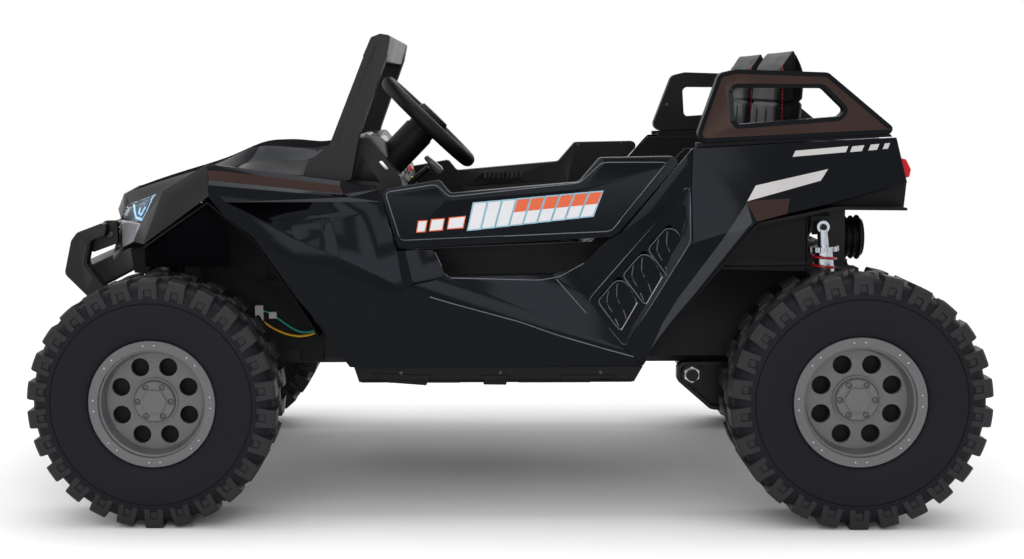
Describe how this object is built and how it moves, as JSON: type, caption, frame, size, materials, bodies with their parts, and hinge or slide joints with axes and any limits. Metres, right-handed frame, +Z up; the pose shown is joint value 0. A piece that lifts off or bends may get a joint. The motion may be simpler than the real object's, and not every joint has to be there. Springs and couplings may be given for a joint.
{
  "type": "child's battery ride-on dune buggy",
  "caption": "Child's two-seat battery ride-on off-road buggy with coupled front steering, opening doors and free-turning knobbly wheels.",
  "frame": {"origin": "on the floor, midway between the axles, on the centre plane", "axes": "+X forward, +Y to the vehicle's left, +Z up"},
  "size_m": [1.5078, 0.94, 0.7809],
  "materials": {
    "gloss_shell": "high-gloss moulded black",
    "satin_shell": "satin moulded black",
    "undertray_plastic": "fine-grained matte black",
    "frame_steel": "black powder coat",
    "tyre": "matte black",
    "wheel_plastic": "satin grey",
    "lamp_clear": "clear",
    "lamp_red": "translucent red",
    "seat_leather": "soft black with red stitching",
    "battery_case": "plain",
    "shock_metal": "silver",
    "motor_case": "plain",
    "wire_cover": "teal and yellow PVC cover",
    "grip_plastic": "soft grained black"
  },
  "bodies": {
    "body": {"battery": "battery_case", "cockpit_tub": "undertray_plastic", "dashboard": "satin_shell", "frame": "frame_steel", "front_arms": "frame_steel", "front_bumper": "satin_shell", "front_liner": "undertray_plastic", "front_shocks": "shock_metal", "headlamps": "lamp_clear", "hood": "gloss_shell", "hoop_left": "gloss_shell", "hoop_right": "gloss_shell", "motors": "motor_case", "nose": "gloss_shell", "rear_deck": "satin_shell", "rear_liner": "undertray_plastic", "rear_quarter_left": "gloss_shell", "rear_quarter_right": "gloss_shell", "rear_shocks": "shock_metal", "seat_backs": "seat_leather", "seat_cushions": "seat_leather", "side_panel_left": "gloss_shell", "side_panel_right": "gloss_shell", "steering_column": "undertray_plastic", "swing_arm": "frame_steel", "tail_horn": "undertray_plastic", "tail_lamps": "lamp_red", "undertray": "undertray_plastic", "vent_panel_left": "satin_shell", "vent_panel_right": "satin_shell", "windscreen_frame": "satin_shell", "wiring": "wire_cover"},
    "door_left": {"door_left": "gloss_shell"},
    "knuckle_left": {"knuckle_left": "frame_steel"},
    "wheel_front_left": {"wheel_front_left": "wheel_plastic", "tyre_front_left": "tyre"},
    "wheel_rear_left": {"wheel_rear_left": "wheel_plastic", "tyre_rear_left": "tyre"},
    "door_right": {"door_right": "gloss_shell"},
    "knuckle_right": {"knuckle_right": "frame_steel"},
    "wheel_front_right": {"wheel_front_right": "wheel_plastic", "tyre_front_right": "tyre"},
    "wheel_rear_right": {"wheel_rear_right": "wheel_plastic", "tyre_rear_right": "tyre"},
    "steering_wheel": {"steering_wheel": "grip_plastic"},
    "tie_rod": {"tie_rod": "frame_steel"}
  },
  "joints": [
    {"name": "steering", "type": "hinge", "parent": "body", "child": "steering_wheel", "pos_m": [0.1183, 0.17, 0.635], "axis": [-0.7009, 0, 0.7133], "range_deg": [-60, 60]},
    {"name": "tie_rod_slide", "type": "slide", "parent": "body", "child": "tie_rod", "axis": [0, 1, 0], "range_m": [-0.0256, 0.0256]},
    {"name": "steer_left", "type": "hinge", "parent": "body", "child": "knuckle_left", "pos_m": [0.5535, 0.33, 0.2], "axis": [0, 0, 1], "range_deg": [-25.01, 25.01]},
    {"name": "door_left_hinge", "type": "hinge", "parent": "body", "child": "door_left", "pos_m": [0.142, 0.381, 0.47], "axis": [0, 0, -1], "range_deg": [0, 60]},
    {"name": "spin_front_left", "type": "hinge", "parent": "knuckle_left", "child": "wheel_front_left", "pos_m": [0.5535, 0.395, 0.2], "axis": [0, 1, 0], "continuous": true},
    {"name": "spin_rear_left", "type": "hinge", "parent": "body", "child": "wheel_rear_left", "pos_m": [-0.5535, 0.395, 0.2], "axis": [0, 1, 0], "continuous": true},
    {"name": "steer_right", "type": "hinge", "parent": "body", "child": "knuckle_right", "pos_m": [0.5535, -0.33, 0.2], "axis": [0, 0, 1], "range_deg": [-25.01, 25.01]},
    {"name": "door_right_hinge", "type": "hinge", "parent": "body", "child": "door_right", "pos_m": [0.142, -0.381, 0.47], "axis": [0, 0, 1], "range_deg": [0, 60]},
    {"name": "spin_front_right", "type": "hinge", "parent": "knuckle_right", "child": "wheel_front_right", "pos_m": [0.5535, -0.395, 0.2], "axis": [0, 1, 0], "continuous": true},
    {"name": "spin_rear_right", "type": "hinge", "parent": "body", "child": "wheel_rear_right", "pos_m": [-0.5535, -0.395, 0.2], "axis": [0, 1, 0], "continuous": true}
  ],
  "couplings": [
    {"joint": "steer_left", "follows": "steering", "ratio": 0.41667},
    {"joint": "steer_right", "follows": "steering", "ratio": 0.41667},
    {"joint": "tie_rod_slide", "follows": "steering", "m_per_rad": -0.024214}
  ]
}
